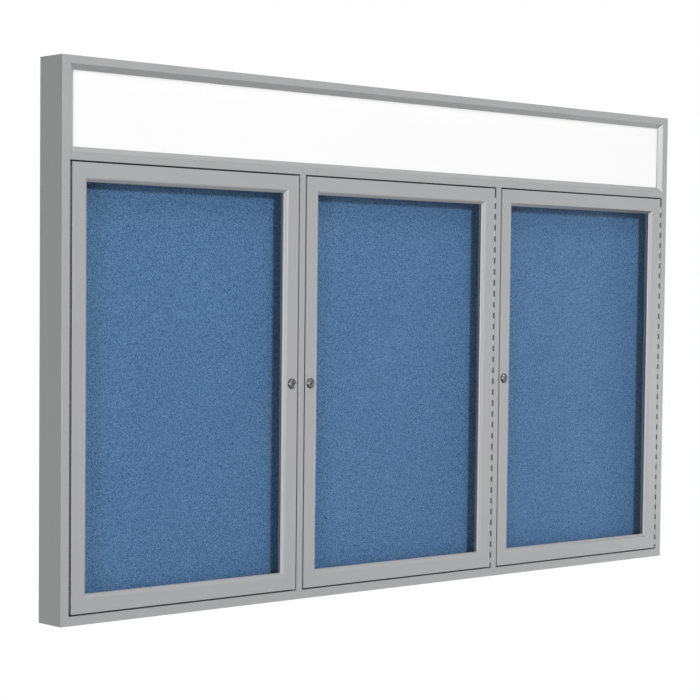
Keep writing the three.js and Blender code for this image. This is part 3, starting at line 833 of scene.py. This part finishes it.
def cam_lock(number):
    """A tapered flange, its spring ring, a plug with a keyhole and a square tail, and the flat cam."""
    low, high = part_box(f"lock_{number}_body")
    centre = Vector(((low.x + high.x) / 2, FRONT, (low.z + high.z) / 2))
    door = f"door_{number}"
    lock = f"lock_{number}"

    shape = bmesh.new()
    turned(shape, FLANGE_PROFILE, centre)
    flange = finished(
        f"{lock}_flange", shape, door, "nickel", [f"{lock}_body"], smooth=True
    )
    record_turning(flange, centre)

    shape = bmesh.new()
    turned(shape, RING_PROFILE, centre)
    ring = finished(f"{lock}_ring", shape, door, "zinc", smooth=True)
    record_turning(ring, centre)

    shape = bmesh.new()
    turned(shape, PLUG_PROFILE, centre)
    keyhole = bmesh.new()
    block_at(keyhole, centre, KEYHOLE)
    ward = bmesh.new()
    block_at(ward, centre, WARD)
    shape = carved(shape, keyhole, ward)
    tail = block_at(shape, centre, TAIL)
    rounded(shape, edges_of(tail), TAIL_ROUND, steps=2)
    core = finished(f"{lock}_core", shape, lock, "nickel", [f"{lock}_plug"], smooth=True)
    record_turning(core, centre)

    shape = node_shape(f"{lock}_cam")
    rounded(shape, corner_edges(shape, at_one_depth), CAM_ROUND, steps=2)
    finished(f"{lock}_lever", shape, lock, "zinc", [f"{lock}_cam"])


for number in DOORS:
    cam_lock(number)


# Back panel with countersunk rivets along its edges and the mounting rails
RIVET_PROFILE = [
    (0.0, -0.95), (0.9, -0.95), (0.95, -0.3), (1.2, -0.15), (3.2, -0.1), (3.45, -0.25), (2.15, -1.45),
    (0.0, -1.45),
]
RIVET_FACETS = 20
RIVET_STEP = 200 * MM
RIVET_MARGIN = 5 * MM
RIVET_CORNER = 16 * MM
SINK_OUTER = 3.9 * MM
SINK_INNER = 2.3 * MM
SINK_DEPTH = 1.6 * MM
SINK_MIDDLE = -0.7 * MM

# The wall screws' holes to both sides of the middle, and how clear of them a rivet stays
WALL_SCREW_X = 0.711
WALL_SCREW_CLEAR = 25 * MM


def rivet_places():
    """Places across and up: a row along each edge of the panel and one along each mounting rail."""
    low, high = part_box("back_panel")
    x0, x1 = low.x + RIVET_MARGIN, high.x - RIVET_MARGIN
    z0, z1 = low.z + RIVET_MARGIN, high.z - RIVET_MARGIN
    across = max(2, round((x1 - x0) / RIVET_STEP))
    upward = max(2, round((z1 - z0) / RIVET_STEP))
    places = []
    for step in range(across + 1):
        x = x0 + RIVET_CORNER + (x1 - x0 - 2 * RIVET_CORNER) * step / across
        places += [(x, z0), (x, z1)]
    for step in range(upward):
        z = z0 + (z1 - z0) * (step + 0.5) / upward
        places += [(x0, z), (x1, z)]
    for rail in ("mounting_rail_lower", "mounting_rail_upper"):
        rail_low, rail_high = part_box(rail)
        height = (rail_low.z + rail_high.z) / 2
        for step in range(across):
            x = x0 + (x1 - x0) * (step + 0.5) / across
            if abs(abs(x) - WALL_SCREW_X) > WALL_SCREW_CLEAR:
                places.append((x, height))
    return places


def riveted_back():
    """The back panel with a countersink at each rivet, and the rivets."""
    places = rivet_places()
    cone = bmesh.new()
    bmesh.ops.create_cone(
        cone,
        cap_ends=True,
        segments=RIVET_FACETS,
        radius1=SINK_OUTER,
        radius2=SINK_INNER,
        depth=SINK_DEPTH,
        matrix=Matrix.Rotation(math.pi / 2, 4, "X"),
    )
    sinks = bmesh.new()
    copies(sinks, cone, [Matrix.Translation((x, SINK_MIDDLE, z)) for x, z in places])
    panel = carved(node_shape("back_panel"), sinks)
    finished("back_panel_drilled", panel, "cabinet", "sheet", ["back_panel"])
    rivet = bmesh.new()
    turned(rivet, RIVET_PROFILE, steps=RIVET_FACETS)
    rivets = bmesh.new()
    copies(rivets, rivet, [Matrix.Translation((x, 0, z)) for x, z in places])
    finished("back_rivets", rivets, "cabinet", "zinc")


riveted_back()


# The CAD nodes that stay as they are
kept = {
    "header_panel": "white",
    "mounting_rail_upper": "sheet",
    "mounting_rail_lower": "sheet",
    **{f"corner_bracket_{number}": "zinc" for number in BRACKETS},
    **{f"tack_core_{number}": "fibre" for number in DOORS},
    **{f"tack_vinyl_{number}": "vinyl" for number in DOORS},
    **{f"hinge_{number}_pin": "hinge" for number in DOORS},
    **{f"door_{number}_glazing": "pane" for number in DOORS},
}
for node, finish in kept.items():
    for slot in NODES[node].material_slots:
        slot.material = finishes[finish]


# Floor well below the board
FLOOR_RADIUS = 3.2
FLOOR_FACETS = 128
FLOOR_PLACE = (0, -0.4, -1.5)
FLOOR_LOW = (0.80, 0.80, 0.80)
FLOOR_HIGH = (0.85, 0.85, 0.85)


def pale_floor():
    shape = bmesh.new()
    bmesh.ops.create_circle(
        shape,
        cap_ends=True,
        segments=FLOOR_FACETS,
        radius=FLOOR_RADIUS,
        matrix=Matrix.Translation(FLOOR_PLACE),
    )
    mesh = bpy.data.meshes.new("floor")
    shape.to_mesh(mesh)
    shape.free()
    finish = new_finish("pale_floor")
    cloud = finish.noise(finish.place(), scale=2.0, detail=4.0)
    shader = finish.principled(Base_Color=finish.blend(cloud, FLOOR_LOW, FLOOR_HIGH), Roughness=0.8)
    mesh.materials.append(finish.output(shader))
    floor = bpy.data.objects.new("floor", mesh)
    bpy.context.scene.collection.objects.link(floor)


# Studio light: round lamps that all face the middle of the board, and a plain world
BOARD_MIDDLE = Vector((0, 0, 0))


def lamp(name, place, size, power):
    light = bpy.data.lights.new(name, "AREA")
    light.shape = "DISK"
    light.size = size
    light.energy = power
    obj = bpy.data.objects.new(name, light)
    obj.location = place
    obj.rotation_euler = (BOARD_MIDDLE - Vector(place)).to_track_quat("-Z", "Y").to_euler()
    obj.visible_camera = False
    bpy.context.scene.collection.objects.link(obj)


def surroundings(ambient):
    """White where the camera, metal or glass sees it, and a plain even light on the rest."""
    world = bpy.data.worlds.new("studio")
    bpy.context.scene.world = world
    finish = Finish(world)
    rays = [
        finish.node("ShaderNodeLightPath", take=name)
        for name in ("Is Camera Ray", "Is Glossy Ray", "Is Transmission Ray")
    ]
    seen = rays[0].most(rays[1]).most(rays[2])
    background = finish.node(
        "ShaderNodeBackground", {}, {"Color": (1, 1, 1, 1), "Strength": seen * (1 - ambient) + ambient}
    )
    finish.output(background, "ShaderNodeOutputWorld")


pale_floor()
lamp("main", place=(-2.0, -13.0, 4.2), size=2.5, power=950)
lamp("side", place=(-16.0, -9.2, -0.4), size=3.5, power=930)
lamp("overhead", place=(0.0, -3.2, 4.9), size=2.4, power=105)
lamp("right", place=(3.2, -1.0, -0.3), size=0.8, power=8.5)
surroundings(ambient=0.08)
